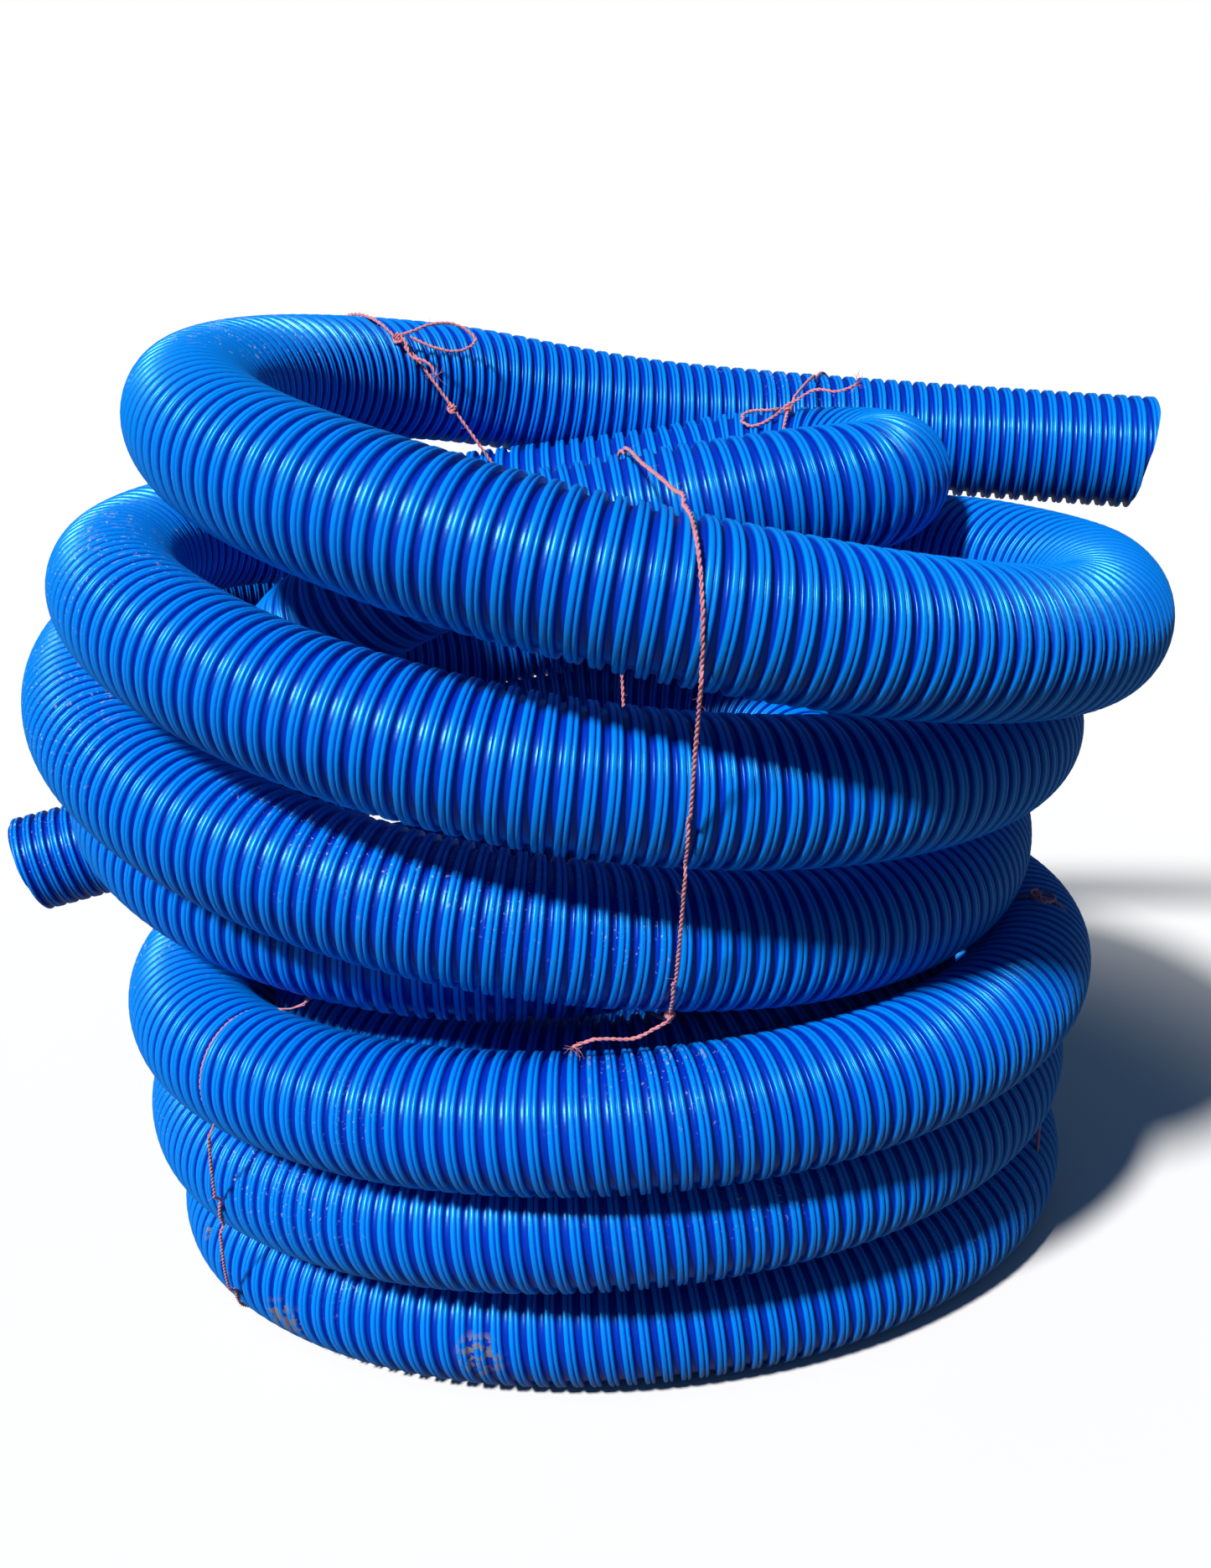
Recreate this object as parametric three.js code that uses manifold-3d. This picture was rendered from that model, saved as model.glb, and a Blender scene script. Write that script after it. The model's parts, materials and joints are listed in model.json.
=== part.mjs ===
// A pile of two corrugated swimming-pool vacuum hoses with plain cut ends. Each hose is wound
// into its own bundle, the upper bundle stands on the lower one, and five pieces of twine hold
// the turns together. Units are millimetres, +Z is up, and the front of the pile faces -Y.
// Everything is laid out from the point on the ground at the middle of the lower bundle. At the
// end the pile moves as one, so that the origin lies on the ground under the middle of its bounds.
import * as THREE from 'three';
import { mergeVertices } from 'three/addons/utils/BufferGeometryUtils.js';
import Module from 'manifold-3d';

const wasm = await Module();
wasm.setup();

// ---- Driving dimensions -------------------------------------------------------------------
const hoseOutside = 45; // diameter over the ribs
const hoseBore = 38; // nominal 1 1/2 inch hose
const hoseSides = 10; // flats around the faceted hose
const twineDiameter = 1.2;
const twineSides = 5;
const knotRadius = 2.2;
const touchGap = 0.9; // space left between twine and hose
const jointGap = 0.5; // space left where two lengths of one hose meet
const segmentLength = 60; // length of one bending segment of a free end
const bendAllowance = 28; // degrees that one seam between segments can close up by

const hoseRadius = hoseOutside / 2;
const flatRadius = hoseRadius * Math.cos(Math.PI / hoseSides); // centre to a flat
const ringAngle = THREE.MathUtils.degToRad(17); // turning allowed between two rings
const twineRingAngle = 1.5 * ringAngle;
const longestRingStep = 60;
const sampleStep = 3; // between the places where a curve is measured
const fewestSamples = 64;

// ---- Turns --------------------------------------------------------------------------------
// One turn is a tilted ellipse: its centre, its radii, its mean height, how far its +X side
// and its +Y side stand above that height, and how much the sides ride above front and back.
const turns = {
  top: { x: 27, y: -70, rx: 145, ry: 135, z: 303, riseX: -42, riseY: 13, saddle: -2 },
  second: { x: -3, y: -39, rx: 156, ry: 144, z: 245, riseX: -36, riseY: 0, saddle: 6 },
  third: { x: -21, y: 18, rx: 170, ry: 174, z: 207, riseX: -40, riseY: 25, saddle: -3 },
  fourth: { x: -45, y: 31, rx: 141, ry: 144, z: 173, riseX: -18, riseY: 8, saddle: 5 },
  ground: { x: 0, y: 5, rx: 160, ry: 127, z: flatRadius, riseX: 0, riseY: 0, saddle: 0 },
  middle: { x: -3, y: 12, rx: 164, ry: 159, z: 73, riseX: 0, riseY: 1, saddle: -4 },
  upper: { x: 1, y: -15, rx: 163, ry: 149, z: 120, riseX: -3, riseY: -1, saddle: 0 },
  inside: { x: 4, y: -15, rx: 112, ry: 98, z: 113, riseX: 0, riseY: 4, saddle: 0 },
};
const stationAngle = 30; // degrees between stations; 0 is +X, 90 is the back, 270 the front

function pointOnTurn(turn, degrees) {
  const angle = THREE.MathUtils.degToRad(degrees);
  const across = Math.cos(angle);
  const away = Math.sin(angle);
  const height = turn.z + turn.riseX * across + turn.riseY * away + turn.saddle * Math.cos(2 * angle);
  return new THREE.Vector3(turn.x + turn.rx * across, turn.y + turn.ry * away, height);
}

function mixTurns(from, to, amount) {
  const mixed = {};
  for (const key of Object.keys(from)) {
    mixed[key] = THREE.MathUtils.lerp(from[key], to[key], amount);
  }
  return mixed;
}

function stationsOf(turn, fromDegrees, toDegrees) {
  const stations = [];
  for (let degrees = fromDegrees; degrees <= toDegrees; degrees += stationAngle) {
    stations.push(pointOnTurn(turn, degrees));
  }
  return stations;
}

// At the back the hose passes from one turn into the next one.
function backCrossing(from, to) {
  return [60, 90, 120].map((degrees, i) => pointOnTurn(mixTurns(from, to, (i + 1) / 4), degrees));
}

const rightEnd = [
  [236, 57, 288],
  [127, 70, 302],
];
// The small loop that lies inside the top turn: it goes left along the back, comes forward and
// right, makes a tight half circle and goes back to the left.
const loopEntry = [
  [145, 5, 261], [119, 32, 260], [92, 52, 258], [60, 67, 250], [22, 74, 242],
  [-50, 59, 231], [-92, 32, 234], [-107, -6, 243], [-88, -43, 262], [-45, -61, 283], [0, -63, 291],
];
const loopEnd = { x: 72, y: -20, radius: 42, z: 297 };
const loopExit = [
  [31, 24, 293], [-33, 28, 289], [-95, 37, 286], [-138, 19, 289],
];
const leftEnd = [
  [74, 98, 173], [21, 120, 178], [-40, 123, 175], [-148, 118, 151], [-267, 105, 130],
];

function halfCircle({ x, y, radius, z }) {
  return [-90, -45, 0, 45, 90].map((degrees) => {
    const angle = THREE.MathUtils.degToRad(degrees);
    return new THREE.Vector3(x + radius * Math.cos(angle), y + radius * Math.sin(angle), z);
  });
}

const toVectors = (points) => points.map((point) => new THREE.Vector3(...point));

// A hose that never dips below the ground between its stations.
class RestingCurve extends THREE.CatmullRomCurve3 {
  getPoint(t, target) {
    const point = super.getPoint(t, target);
    point.z = Math.max(point.z, flatRadius);
    return point;
  }
}

const upperHose = new THREE.CatmullRomCurve3([
  ...toVectors(rightEnd),
  ...stationsOf(turns.top, 90, 360),
  ...toVectors(loopEntry),
  ...halfCircle(loopEnd),
  ...toVectors(loopExit),
  ...stationsOf(turns.second, 180, 390),
  ...backCrossing(turns.second, turns.third),
  ...stationsOf(turns.third, 150, 390),
  ...backCrossing(turns.third, turns.fourth),
  ...stationsOf(turns.fourth, 150, 360),
  ...toVectors(leftEnd),
]);
// The bottom turn starts inside the place where it will rise at the back.
const groundStart = [
  [62, 78, flatRadius], [0, 108, flatRadius], [-50, 115, flatRadius], [-100, 101, flatRadius],
];
const lowerHose = new RestingCurve([
  ...toVectors(groundStart),
  ...stationsOf(turns.ground, 150, 390),
  ...backCrossing(turns.ground, turns.middle),
  ...stationsOf(turns.middle, 150, 390),
  ...backCrossing(turns.middle, turns.upper),
  ...stationsOf(turns.upper, 150, 390),
  ...backCrossing(turns.upper, turns.inside),
  ...stationsOf(turns.inside, 150, 360),
]);
for (const hose of [upperHose, lowerHose]) {
  hose.arcLengthDivisions = 1600; // fine enough for lengths true to 0.1 mm
}

// ---- Paths --------------------------------------------------------------------------------
// A stretch of a longer curve, with its rings closest together where it bends most.
class PacedStretch extends THREE.Curve {
  constructor(curve, start, end, anglePerRing, longestStep) {
    super();
    this.curve = curve;
    this.total = curve.getLength();
    const samples = Math.max(fewestSamples, Math.ceil((end - start) / sampleStep));
    this.places = [start];
    this.effort = [0];
    let before = curve.getTangentAt(start / this.total);
    for (let i = 1; i <= samples; i += 1) {
      const place = start + ((end - start) * i) / samples;
      const tangent = curve.getTangentAt(Math.min(1, place / this.total));
      const turning = before.angleTo(tangent) / anglePerRing;
      const travel = (end - start) / samples / longestStep;
      this.places.push(place);
      this.effort.push(this.effort[i - 1] + turning + travel);
      before = tangent;
    }
  }

  get rings() {
    return Math.max(1, Math.round(this.effort[this.effort.length - 1]));
  }

  place(t) {
    const wanted = t * this.effort[this.effort.length - 1];
    let i = 1;
    while (i < this.effort.length - 1 && this.effort[i] < wanted) i += 1;
    const share = (wanted - this.effort[i - 1]) / (this.effort[i] - this.effort[i - 1]);
    return THREE.MathUtils.lerp(this.places[i - 1], this.places[i], share) / this.total;
  }

  getPoint(t, target = new THREE.Vector3()) {
    return target.copy(this.curve.getPointAt(THREE.MathUtils.clamp(this.place(t), 0, 1)));
  }

  getPointAt(t, target) {
    return this.getPoint(t, target);
  }

  getTangentAt(t, target = new THREE.Vector3()) {
    return target.copy(this.curve.getTangentAt(THREE.MathUtils.clamp(this.place(t), 0, 1)));
  }
}

// A regular polygon with a flat on its +x and -x sides.
function polygon(Shape, radius, sides) {
  const outline = new Shape();
  for (let i = 0; i < sides; i += 1) {
    const angle = ((i + 0.5) * 2 * Math.PI) / sides;
    const draw = i === 0 ? 'moveTo' : 'lineTo';
    outline[draw](radius * Math.cos(angle), radius * Math.sin(angle));
  }
  outline.closePath();
  return outline;
}

// An open-ended length of hose with its bore through it.
function hoseStretch(curve, start, end) {
  const wall = polygon(THREE.Shape, hoseRadius, hoseSides);
  wall.holes.push(polygon(THREE.Path, hoseBore / 2, hoseSides));
  const path = new PacedStretch(curve, start, end, ringAngle, longestRingStep);
  return new THREE.ExtrudeGeometry(wall, { steps: path.rings, extrudePath: path, bevelEnabled: false });
}

function twineStretch(curve) {
  const section = polygon(THREE.Shape, twineDiameter / 2, twineSides);
  const path = new PacedStretch(curve, 0, curve.getLength(), twineRingAngle, longestRingStep);
  return new THREE.ExtrudeGeometry(section, { steps: path.rings, extrudePath: path, bevelEnabled: false });
}

// ---- Cutting and joining ------------------------------------------------------------------
function toSolid(geometry) {
  const bare = geometry.clone();
  bare.deleteAttribute('normal');
  bare.deleteAttribute('uv');
  const merged = mergeVertices(bare, 1e-4);
  return new wasm.Manifold(new wasm.Mesh({
    numProp: 3,
    vertProperties: new Float32Array(merged.attributes.position.array),
    triVerts: new Uint32Array(merged.index.array),
  }));
}

function toGeometry(solid) {
  const mesh = solid.getMesh();
  const geometry = new THREE.BufferGeometry();
  geometry.setAttribute('position', new THREE.BufferAttribute(mesh.vertProperties, 3));
  geometry.setIndex(new THREE.BufferAttribute(mesh.triVerts, 1));
  geometry.computeVertexNormals();
  return geometry;
}

function joinAll(geometries) {
  const solids = geometries.map(toSolid);
  return toGeometry(solids.reduce((whole, solid) => whole.add(solid)));
}

// Two round plugs that leave a shallow V on the end of a hose: its ridge runs along the bending
// axis, and each of its faces leans back by half of the angle that the seam closes up by.
function seamCutters(seam, outward) {
  const plugRadius = hoseRadius + 1.5;
  const plugDepth = 12;
  return [1, -1].map((side) => {
    const plug = new THREE.CylinderGeometry(plugRadius, plugRadius, plugDepth, 16);
    plug.rotateZ(Math.PI / 2);
    plug.translate((plugDepth - jointGap) / 2, 0, 0);
    const lean = THREE.MathUtils.degToRad((side * bendAllowance) / 2);
    const placed = new THREE.Matrix4().makeBasis(
      outward,
      new THREE.Vector3().crossVectors(seam.axis, outward),
      seam.axis,
    );
    placed.setPosition(seam.point);
    plug.applyMatrix4(new THREE.Matrix4().makeRotationZ(lean));
    plug.applyMatrix4(placed);
    return plug;
  });
}

function trimAtSeams(geometry, seams) {
  let solid = toSolid(geometry);
  for (const { seam, outward } of seams) {
    for (const cutter of seamCutters(seam, outward)) {
      solid = solid.subtract(toSolid(cutter));
    }
  }
  return toGeometry(solid);
}

// A seam sits across the hose. Its bending axis is the given direction, squared to the hose.
function seamAt(curve, distance, wantedAxis) {
  const share = distance / curve.getLength();
  const along = curve.getTangentAt(share);
  const axis = wantedAxis.clone().addScaledVector(along, -wantedAxis.dot(along)).normalize();
  return { distance, point: curve.getPointAt(share), along, axis };
}

// ---- Twine --------------------------------------------------------------------------------
const twinePath = hoseRadius + touchGap + twineDiameter / 2; // hose centre to twine centre
const knotStandOff = hoseRadius + touchGap + knotRadius - twinePath;
const groundClearance = 0.5; // under a twine that passes beneath the bottom turn

// Each tie goes round the turns that cross one plane. The plane stands at `at` and
// runs outward at `degrees`; it takes in the turns whose centres lie inside `reach` along it
// and inside `heights`. `knot` is the knot's direction round the bundle: 0 out, 90 up.
// `lean` tips the plane to one side, in degrees.
const ties = {
  front_tie: { at: [3, -70], degrees: -85, lean: 2.8, reach: [-20, 170], heights: [140, 330], knot: -56 },
  rear_left_tie: {
    at: [107, 12], degrees: 136, lean: 18, reach: [80, 170], heights: [262, 350], knot: 150,
  },
  rear_right_tie: { at: [72, -20], degrees: 70, reach: [10, 125], heights: [250, 335], knot: 105 },
  lower_left_tie: {
    at: [-58, 45], degrees: 232, lean: 23, reach: [90, 190], heights: [0, 140], knot: 110,
  },
  lower_right_tie: { at: [0, 0], degrees: 343, reach: [130, 190], heights: [0, 140], knot: 78 },
};

function tieFrame(tie) {
  const angle = THREE.MathUtils.degToRad(tie.degrees);
  const out = new THREE.Vector3(Math.cos(angle), Math.sin(angle), 0);
  const up = new THREE.Vector3(0, 0, 1).applyAxisAngle(out, -THREE.MathUtils.degToRad(tie.lean ?? 0));
  return { origin: new THREE.Vector3(tie.at[0], tie.at[1], 0), out, up, side: up.clone().cross(out) };
}

// Points on the twine's side of every hose surface that crosses the tie's plane.
function pointsInPlane(tie, frame) {
  const found = [];
  const pointsRound = 30;
  for (const hose of [upperHose, lowerHose]) {
    const samples = Math.ceil(hose.getLength() / sampleStep);
    for (let i = 0; i <= samples; i += 1) {
      const centre = hose.getPointAt(i / samples);
      const offset = centre.clone().sub(frame.origin);
      const along = offset.dot(frame.out);
      const beside = Math.abs(offset.dot(frame.side)) < hoseOutside;
      const inReach = along > tie.reach[0] && along < tie.reach[1];
      if (!beside || !inReach || centre.z < tie.heights[0] || centre.z > tie.heights[1]) continue;
      const tangent = hose.getTangentAt(i / samples);
      const first = new THREE.Vector3(0, 0, 1).cross(tangent).normalize();
      const second = tangent.clone().cross(first);
      for (let k = 0; k < pointsRound; k += 1) {
        const turn = (k * 2 * Math.PI) / pointsRound;
        const onSurface = offset.clone().addScaledVector(first, twinePath * Math.cos(turn));
        onSurface.addScaledVector(second, twinePath * Math.sin(turn));
        if (Math.abs(onSurface.dot(frame.side)) > sampleStep / 2) continue;
        found.push(new THREE.Vector2(onSurface.dot(frame.out), onSurface.dot(frame.up)));
      }
    }
  }
  return found;
}

// The taut outline round a set of points, counter-clockwise.
function tautOutline(points) {
  const sorted = [...points].sort((a, b) => a.x - b.x || a.y - b.y);
  const turnsLeft = (a, b, c) => (b.x - a.x) * (c.y - a.y) - (b.y - a.y) * (c.x - a.x) > 0;
  const half = (list) => {
    const kept = [];
    for (const point of list) {
      while (kept.length > 1 && !turnsLeft(kept.at(-2), kept.at(-1), point)) kept.pop();
      kept.push(point);
    }
    return kept.slice(0, -1);
  };
  return [...half(sorted), ...half(sorted.reverse())];
}

// The outline with its closest points thinned out, and nothing lower than the ground allows.
function loopOf(tie, frame) {
  const closest = 3;
  const lowest = groundClearance + twineDiameter / 2;
  const kept = [];
  for (const point of tautOutline(pointsInPlane(tie, frame))) {
    const lifted = new THREE.Vector2(point.x, Math.max(point.y, lowest));
    if (kept.length === 0 || kept.at(-1).distanceTo(lifted) > closest) kept.push(lifted);
  }
  return kept;
}

// A tie's loop starts and ends inside its knot. The knot sits just outside the loop.
function measureTie(tie) {
  const frame = tieFrame(tie);
  const loop = loopOf(tie, frame);
  const angle = THREE.MathUtils.degToRad(tie.knot);
  const knotWay = new THREE.Vector2(Math.cos(angle), Math.sin(angle));
  let first = 0;
  loop.forEach((point, i) => {
    if (point.dot(knotWay) > loop[first].dot(knotWay)) first = i;
  });
  const inSpace = (point) => frame.origin.clone()
    .addScaledVector(frame.out, point.x)
    .addScaledVector(frame.up, point.y);
  const ordered = [...loop.slice(first), ...loop.slice(0, first), loop[first]].map(inSpace);
  const outward = frame.out.clone().multiplyScalar(knotWay.x).addScaledVector(frame.up, knotWay.y);
  const knot = ordered[0].clone().addScaledVector(outward, knotStandOff);
  const round = new THREE.Vector3().crossVectors(frame.side, outward);
  return { frame, points: ordered, knot, outward, side: frame.side, round };
}

function tieGeometry(measured) {
  const endGap = 0.8; // keeps the two ends of the loop apart inside the knot
  const points = measured.points.map((point) => point.clone());
  points[0].lerp(points[1], endGap / points[0].distanceTo(points[1]));
  points.at(-1).lerp(points.at(-2), endGap / points.at(-1).distanceTo(points.at(-2)));
  const loop = new THREE.CatmullRomCurve3(points, false, 'centripetal');
  const knot = new THREE.IcosahedronGeometry(knotRadius, 1);
  knot.translate(measured.knot.x, measured.knot.y, measured.knot.z);
  return joinAll([twineStretch(loop), knot]);
}

// Loose twine leaves the knot at its surface and turns about the knot's centre.
const looseStart = knotRadius + twineDiameter / 2 + 0.5;

function looseEnd(measured, points, turn = 0) {
  const { knot, outward } = measured;
  const side = measured.side.clone().applyAxisAngle(outward, THREE.MathUtils.degToRad(turn));
  const round = measured.round.clone().applyAxisAngle(outward, THREE.MathUtils.degToRad(turn));
  const place = ([out, across, along]) => knot.clone()
    .addScaledVector(outward, out)
    .addScaledVector(side, across)
    .addScaledVector(round, along);
  return twineStretch(new THREE.CatmullRomCurve3(points.map(place), false, 'centripetal'));
}

// A bow's loop: out along one side of a teardrop and back along the other, rising as it goes.
// `turn` swings it about the knot, in degrees, away from the hose's own direction.
function bowLoop(measured, sign, length, width, rise = 5.4, turn = 0) {
  const half = width / 2;
  const foot = 1.6;
  return looseEnd(measured, [
    [foot, sign * looseStart, 1],
    [foot + rise * 0.35, sign * length * 0.35, half * 0.8],
    [foot + rise * 0.8, sign * length * 0.75, half],
    [foot + rise, sign * length, 0],
    [foot + rise * 0.8, sign * length * 0.75, -half],
    [foot + rise * 0.35, sign * length * 0.35, -half * 0.8],
    [foot, sign * looseStart, -1],
  ], turn);
}

function tail(measured, sign, length, turn = 0) {
  return looseEnd(measured, [
    [1.4, sign * looseStart, 0],
    [4.4, sign * length * 0.4, length * 0.08],
    [4, sign * length * 0.75, length * 0.02],
    [5.4, sign * length, length * 0.12],
  ], turn);
}

// The bottom turn is notched where a tie passes under it, as the twine lies in a groove there.
function notchFor(measured) {
  const room = 1.5 * touchGap;
  const top = groundClearance + twineDiameter + room;
  const block = new THREE.BoxGeometry(hoseOutside * 1.6, twineDiameter + room, 2 * top);
  const middle = measured.frame.origin.clone().addScaledVector(measured.frame.out, notchReach(measured));
  const turned = new THREE.Matrix4().makeBasis(measured.frame.out, measured.frame.side, measured.frame.up);
  turned.setPosition(middle);
  return block.applyMatrix4(turned);
}

function notchReach(measured) {
  const lowest = Math.min(...measured.points.map((point) => point.z));
  const under = measured.points.filter((point) => point.z < lowest + 0.1);
  const reaches = under.map((point) => point.clone().sub(measured.frame.origin).dot(measured.frame.out));
  return (Math.min(...reaches) + Math.max(...reaches)) / 2;
}

// ---- Assembly -----------------------------------------------------------------------------
const hoseBlue = new THREE.MeshStandardMaterial({ color: 0x0a4fd0, roughness: 0.3, metalness: 0 });
const twinePink = new THREE.MeshStandardMaterial({ color: 0xd97a72, roughness: 0.9, metalness: 0 });

const pile = new THREE.Group();

function add(name, geometry, material, parent = pile) {
  const mesh = new THREE.Mesh(geometry, material.clone());
  mesh.name = name;
  parent.add(mesh);
}

const upright = new THREE.Vector3(0, 0, 1);
const crosswise = new THREE.Vector3(0, 1, 0);
const upperLength = upperHose.getLength();
const rightTipSeam = seamAt(upperHose, segmentLength, crosswise);
const rightRootSeam = seamAt(upperHose, 2 * segmentLength, upright);
const leftRootSeam = seamAt(upperHose, upperLength - 2 * segmentLength, upright);
const leftTipSeam = seamAt(upperHose, upperLength - segmentLength, crosswise);
const forward = (seam) => ({ seam, outward: seam.along.clone() });
const backward = (seam) => ({ seam, outward: seam.along.clone().negate() });

const upperStretches = {
  right_end_tip: [0, segmentLength, [forward(rightTipSeam)]],
  right_end_root: [segmentLength, 2 * segmentLength, [backward(rightTipSeam), forward(rightRootSeam)]],
  upper_hose_coil: [
    2 * segmentLength,
    upperLength - 2 * segmentLength,
    [backward(rightRootSeam), forward(leftRootSeam)],
  ],
  left_end_root: [
    upperLength - 2 * segmentLength,
    upperLength - segmentLength,
    [backward(leftRootSeam), forward(leftTipSeam)],
  ],
  left_end_tip: [upperLength - segmentLength, upperLength, [backward(leftTipSeam)]],
};
for (const [name, [start, end, seams]] of Object.entries(upperStretches)) {
  add(name, trimAtSeams(hoseStretch(upperHose, start, end), seams), hoseBlue);
}

const measuredTies = {};
for (const [name, tie] of Object.entries(ties)) {
  measuredTies[name] = measureTie(tie);
  add(name, tieGeometry(measuredTies[name]), twinePink);
}

let lowerSolid = toSolid(hoseStretch(lowerHose, 0, lowerHose.getLength()));
for (const name of ['lower_left_tie', 'lower_right_tie']) {
  lowerSolid = lowerSolid.subtract(toSolid(notchFor(measuredTies[name])));
}
add('lower_hose_coil', toGeometry(lowerSolid), hoseBlue);

add('front_tie_tail', tail(measuredTies.front_tie, -1, 30), twinePink);
add('rear_left_tie_bow', bowLoop(measuredTies.rear_left_tie, -1, 28, 11, 5.4, -38), twinePink);
add('rear_left_tie_tail', tail(measuredTies.rear_left_tie, 1, 20, -60), twinePink);
add('rear_right_tie_bow', bowLoop(measuredTies.rear_right_tie, 1, 20, 9), twinePink);
add('rear_right_tie_tail', tail(measuredTies.rear_right_tie, -1, 26), twinePink);
add('lower_left_tie_tail', tail(measuredTies.lower_left_tie, -1, 20, -20), twinePink);
add('lower_right_tie_bow', bowLoop(measuredTies.lower_right_tie, -1, 18, 8, 1.5, 10), twinePink);

// The origin goes under the middle of the pile's bounds.
const middle = new THREE.Box3().setFromObject(pile, true).getCenter(new THREE.Vector3());
pile.position.set(-middle.x, -middle.y, 0);

export default pile;
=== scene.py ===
"""Looks of the coiled vacuum hose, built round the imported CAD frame.

The hose is a helical double-bead rib swept along the centrelines read back from the CAD nodes.
The ties are two-ply twine laid along the CAD bands, with wrapped knots and frayed ends.
"""

import json
import math

import bpy
import numpy as np
from mathutils import Matrix, Vector
from mathutils.kdtree import KDTree


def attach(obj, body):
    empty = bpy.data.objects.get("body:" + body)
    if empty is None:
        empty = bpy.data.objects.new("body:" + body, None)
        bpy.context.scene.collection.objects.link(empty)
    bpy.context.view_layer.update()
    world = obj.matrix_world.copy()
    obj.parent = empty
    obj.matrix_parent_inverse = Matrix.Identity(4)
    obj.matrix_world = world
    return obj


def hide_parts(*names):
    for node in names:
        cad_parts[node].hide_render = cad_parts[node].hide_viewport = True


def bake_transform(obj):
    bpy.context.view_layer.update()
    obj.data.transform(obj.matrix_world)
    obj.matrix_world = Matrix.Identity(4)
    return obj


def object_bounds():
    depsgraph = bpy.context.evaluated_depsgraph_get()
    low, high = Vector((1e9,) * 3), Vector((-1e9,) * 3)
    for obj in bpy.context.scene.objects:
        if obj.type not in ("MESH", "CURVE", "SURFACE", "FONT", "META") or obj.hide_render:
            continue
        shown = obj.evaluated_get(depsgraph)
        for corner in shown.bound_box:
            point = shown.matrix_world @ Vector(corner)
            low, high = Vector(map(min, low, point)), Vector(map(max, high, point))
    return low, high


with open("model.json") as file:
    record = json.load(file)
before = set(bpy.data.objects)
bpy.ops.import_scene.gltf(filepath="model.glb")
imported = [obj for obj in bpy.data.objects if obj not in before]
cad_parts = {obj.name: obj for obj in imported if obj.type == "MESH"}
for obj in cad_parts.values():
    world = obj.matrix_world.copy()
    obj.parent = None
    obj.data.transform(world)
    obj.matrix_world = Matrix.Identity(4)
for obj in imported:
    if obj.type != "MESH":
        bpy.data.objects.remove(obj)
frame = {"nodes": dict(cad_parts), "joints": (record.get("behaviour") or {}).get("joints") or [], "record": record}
cad_low, cad_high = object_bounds()

# ---- The hose, in metres ----------------------------------------------------------------------
HOSE_RADIUS = 0.0225
BORE_RADIUS = 0.019
CAD_SIDES = 10  # corners of the CAD hose's section
RIB_PITCH = 0.0058
RIB_HEIGHT = 0.0021
COLUMNS = 48  # points round the ribbed outside
BORE_STEP = 0.008
# Rib height through one pitch, as shares of the pitch and of the full height: a steep flank, a
# wide bead, a narrow channel, a slimmer bead, and a flank down to the flat groove.
RIB_PROFILE = [
    (0.10, 0.00), (0.17, 0.22), (0.22, 0.86), (0.28, 1.00), (0.42, 1.00), (0.48, 0.80),
    (0.52, 0.42), (0.56, 0.80), (0.62, 0.98), (0.74, 0.92), (0.80, 0.26), (0.87, 0.00),
]
LINE_STEP = 0.001  # between points of a centreline
CUT_MARGIN = 0.03  # how far a centreline runs on past its cut ends
CUT_SLOPE = 0.007  # how far the upper hose's cuts slope from top to bottom
BEND_HALF = 0.027  # half the length that bends at a joint
LONGEST_PIECE = 0.97

# ---- The twine, in metres ---------------------------------------------------------------------
TWINE_RADIUS = 0.0006
CAD_TWINE_SIDES = 5  # corners of the CAD twine's section
TWINE_STEP = 0.0007
TWINE_LAY = 0.0042  # length of one twist of its two plies
PLY_RADIUS = 0.60 * TWINE_RADIUS
PLY_REACH = 0.52 * TWINE_RADIUS  # from the twine's middle to a ply's middle
PLY_SIDES = 6
PLY_HINT = (0.29, 0.53, 0.79)  # start of the plies' frame, and of a tube's: any odd direction
TUBE_HINT = (0.31, 0.47, 0.83)
KNOT_GAP = 0.004  # the CAD band is left out this near its knot
KNOT_TURNS = 2.6
KNOT_RADIUS = 0.00115
KNOT_HALF = 0.0015
KNOT_TAPER = 0.35
BIGHT_RADIUS = 0.0021  # of the loop drawn over a knot
BIGHT_SWAY = 0.0004
HAIR_RADIUS = 0.00007
HAIR_LENGTHS = (0.0012, 0.0038)
HAIR_SEGMENTS = 6
FRAY_RADIUS = 0.00012
FRAY_LENGTH = 0.006
FRAY_HAIRS = 14
TIE_HAIR_GAP = 0.009
LOOSE_HAIR_GAP = 0.005
TURN_JUMP = 0.1  # neighbouring points further apart than this along a hose are on two turns
FIRST_SEED = 11
REST = HOSE_RADIUS + TWINE_RADIUS  # a strand's distance from the centreline when it lies on ribs
REST_REACH = REST + 0.0031  # a strand nearer than this is drawn in to the ribs

# ---- Colours, linear --------------------------------------------------------------------------
# The darker groove blue is painted shade: the grooves are the same plastic as the beads, coloured darker as if in
# shade.
GROOVE_SHADE_BLUE = (0.0, 0.020, 0.42, 1)
BEAD_BLUE = (0.0, 0.27, 0.96, 1)
CLOUDY_BLUE = (0.0, 0.08, 0.60, 1)
GLOSS_TINT = (0.20, 0.88, 1.0, 1)
DUST_GREY = (0.55, 0.52, 0.54, 1)
MUD_BROWN = (0.27, 0.21, 0.15, 1)
FIBRE_SALMON = (0.74, 0.25, 0.29, 1)
FIBRE_GRUBBY = (0.36, 0.11, 0.16, 1)
FIBRE_PALE = (0.96, 0.56, 0.56, 1)
# Patches of mud: the middle as shares of the CAD box's width, depth and height, and the radius.
MUD_SPOTS = [
    ((0.427, 0.21, 0.055), 0.011),
    ((0.283, 0.295, 0.04), 0.012),
    ((0.214, 0.388, 0.084), 0.005),
]

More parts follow.
